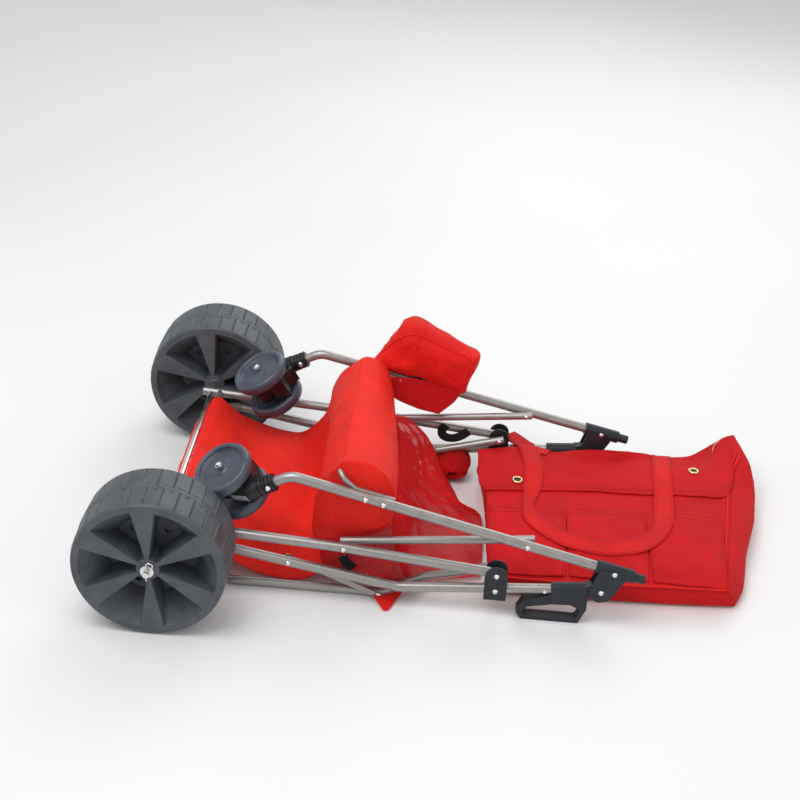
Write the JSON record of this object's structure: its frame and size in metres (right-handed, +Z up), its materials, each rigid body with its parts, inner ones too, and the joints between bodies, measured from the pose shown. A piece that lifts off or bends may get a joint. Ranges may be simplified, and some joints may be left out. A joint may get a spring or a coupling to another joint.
{
  "type": "folding beach cart",
  "caption": "Folding beach cart, folded flat: tube frame on wide rear wheels and twin swivel casters, fabric sling with mesh net and pouch, and a separate tote bag.",
  "frame": {"origin": "on the floor, under the middle of the bounding box of the folded cart with its tote", "axes": "+X from the rear wheels towards the hinges and the tote, +Y to the cart's left, +Z up"},
  "size_m": [1.367, 0.877, 0.3751],
  "materials": {
    "frame_paint": "warm grey metallic paint on steel tube",
    "slate_plastic": "dark slate moulded plastic",
    "black_plastic": "black moulded plastic",
    "wheel_plastic": "dark grey blow-moulded plastic",
    "caster_plastic": "slate blue moulded plastic",
    "zinc_steel": "bright zinc plated steel",
    "foam": "black closed-cell foam",
    "red_fabric": "red coated polyester weave",
    "red_mesh": "red knitted polyester mesh",
    "brass": "bright brass"
  },
  "bodies": {
    "handle_frame": {"handle_tube": "frame_paint", "foam_grip": "foam", "rack_tube": "frame_paint", "rack_brace_right": "frame_paint", "rack_brace_left": "frame_paint", "frame_bracket_right": "slate_plastic", "frame_bracket_left": "slate_plastic", "grip_loop_right": "slate_plastic", "grip_loop_left": "slate_plastic", "handle_rivets": "zinc_steel"},
    "front_frame": {"front_tube_right": "frame_paint", "front_tube_left": "frame_paint", "stem_collar_right": "black_plastic", "stem_collar_left": "black_plastic", "hinge_socket_right": "slate_plastic", "hinge_socket_left": "slate_plastic", "end_plug_right": "black_plastic", "end_plug_left": "black_plastic", "sling_bar": "frame_paint", "pouch_hoop": "frame_paint", "front_rivets": "zinc_steel", "side_pouch": "red_fabric", "sling_hump": "red_fabric", "mesh_net": "red_mesh"},
    "rear_frame": {"rear_tube_right": "frame_paint", "rear_tube_left": "frame_paint", "rear_cross_tube": "frame_paint", "rear_axle": "zinc_steel", "axle_washers": "zinc_steel", "axle_clips": "zinc_steel", "rear_rivets": "zinc_steel"},
    "side_links": {"side_link_right": "frame_paint", "side_link_left": "frame_paint"},
    "sling_back": {"sling_rear": "red_fabric"},
    "sling_drop": {"sling_front": "red_fabric"},
    "tote": {"tote_bag": "red_fabric", "tote_grommets": "brass", "tote_handle": "red_fabric"},
    "rear_wheel_right": {"rear_wheel_right": "wheel_plastic"},
    "caster_right": {"caster_housing_right": "black_plastic", "caster_bolt_right": "zinc_steel"},
    "caster_wheel_upper_right": {"caster_wheel_upper_right": "caster_plastic"},
    "caster_wheel_lower_right": {"caster_wheel_lower_right": "caster_plastic"},
    "snap_button_right": {"snap_button_right": "zinc_steel"},
    "rear_wheel_left": {"rear_wheel_left": "wheel_plastic"},
    "caster_left": {"caster_housing_left": "black_plastic", "caster_bolt_left": "zinc_steel"},
    "caster_wheel_upper_left": {"caster_wheel_upper_left": "caster_plastic"},
    "caster_wheel_lower_left": {"caster_wheel_lower_left": "caster_plastic"},
    "snap_button_left": {"snap_button_left": "zinc_steel"}
  },
  "joints": [
    {"name": "frame_fold", "type": "hinge", "parent": "handle_frame", "child": "front_frame", "pos_m": [0.3275, 0, 0.079], "axis": [0, 1, 0], "range_deg": [0, 120], "deforming": ["sling_hump", "mesh_net"]},
    {"name": "rear_fold", "type": "hinge", "parent": "handle_frame", "child": "rear_frame", "pos_m": [0.1215, 0, 0.097], "axis": [0, 1, 0], "range_deg": [0, 98.98]},
    {"name": "link_fold", "type": "hinge", "parent": "front_frame", "child": "side_links", "pos_m": [0.1755, 0, 0.16589], "axis": [0, 1, 0], "range_deg": [-75.12, 0]},
    {"name": "sling_back_fold", "type": "hinge", "parent": "rear_frame", "child": "sling_back", "pos_m": [-0.5145, 0, 0.148], "axis": [0, 1, 0], "range_deg": [-69.4, 0], "deforming": ["sling_rear"]},
    {"name": "sling_drop_fold", "type": "hinge", "parent": "sling_back", "child": "sling_drop", "pos_m": [-0.1765, 0, 0.017], "axis": [0, 1, 0], "range_deg": [0, 64.29], "deforming": ["sling_front"]},
    {"name": "tote_slide", "type": "slide", "parent": "handle_frame", "child": "tote", "axis": [1, 0, 0], "range_m": [0, 0.6]},
    {"name": "caster_swivel_right", "type": "hinge", "parent": "front_frame", "child": "caster_right", "pos_m": [-0.3315, -0.252, 0.253], "axis": [-0.8829, 0, -0.4695], "range_deg": [-5, 20]},
    {"name": "caster_spin_upper_right", "type": "hinge", "parent": "caster_right", "child": "caster_wheel_upper_right", "pos_m": [-0.40825, -0.21418, 0.22694], "axis": [-0.4439, -0.3256, 0.8348], "continuous": true},
    {"name": "caster_spin_lower_right", "type": "hinge", "parent": "caster_right", "child": "caster_wheel_lower_right", "pos_m": [-0.40825, -0.21418, 0.22694], "axis": [-0.4439, -0.3256, 0.8348], "continuous": true},
    {"name": "rear_wheel_spin_right", "type": "hinge", "parent": "rear_frame", "child": "rear_wheel_right", "pos_m": [-0.5345, -0.358, 0.149], "axis": [0, 1, 0], "continuous": true},
    {"name": "button_press_right", "type": "slide", "parent": "handle_frame", "child": "snap_button_right", "axis": [0, 1, 0], "range_m": [0, 0.003], "stiffness_N_per_m": 300, "springref_m": -0.001},
    {"name": "caster_swivel_left", "type": "hinge", "parent": "front_frame", "child": "caster_left", "pos_m": [-0.3315, 0.252, 0.253], "axis": [-0.8829, 0, -0.4695], "range_deg": [0, 30]},
    {"name": "caster_spin_upper_left", "type": "hinge", "parent": "caster_left", "child": "caster_wheel_upper_left", "pos_m": [-0.39823, 0.21287, 0.2081], "axis": [-0.4592, -0.2079, 0.8637], "continuous": true},
    {"name": "caster_spin_lower_left", "type": "hinge", "parent": "caster_left", "child": "caster_wheel_lower_left", "pos_m": [-0.39823, 0.21287, 0.2081], "axis": [-0.4592, -0.2079, 0.8637], "continuous": true},
    {"name": "rear_wheel_spin_left", "type": "hinge", "parent": "rear_frame", "child": "rear_wheel_left", "pos_m": [-0.5345, 0.358, 0.149], "axis": [0, 1, 0], "continuous": true},
    {"name": "button_press_left", "type": "slide", "parent": "handle_frame", "child": "snap_button_left", "axis": [0, -1, 0], "range_m": [0, 0.003], "stiffness_N_per_m": 300, "springref_m": -0.001}
  ],
  "couplings": [
    {"joint": "rear_fold", "follows": "frame_fold", "ratio": 0.82475},
    {"joint": "link_fold", "follows": "frame_fold", "ratio": -0.62588},
    {"joint": "sling_back_fold", "follows": "frame_fold", "ratio": -0.57828},
    {"joint": "sling_drop_fold", "follows": "frame_fold", "ratio": 0.53563}
  ]
}
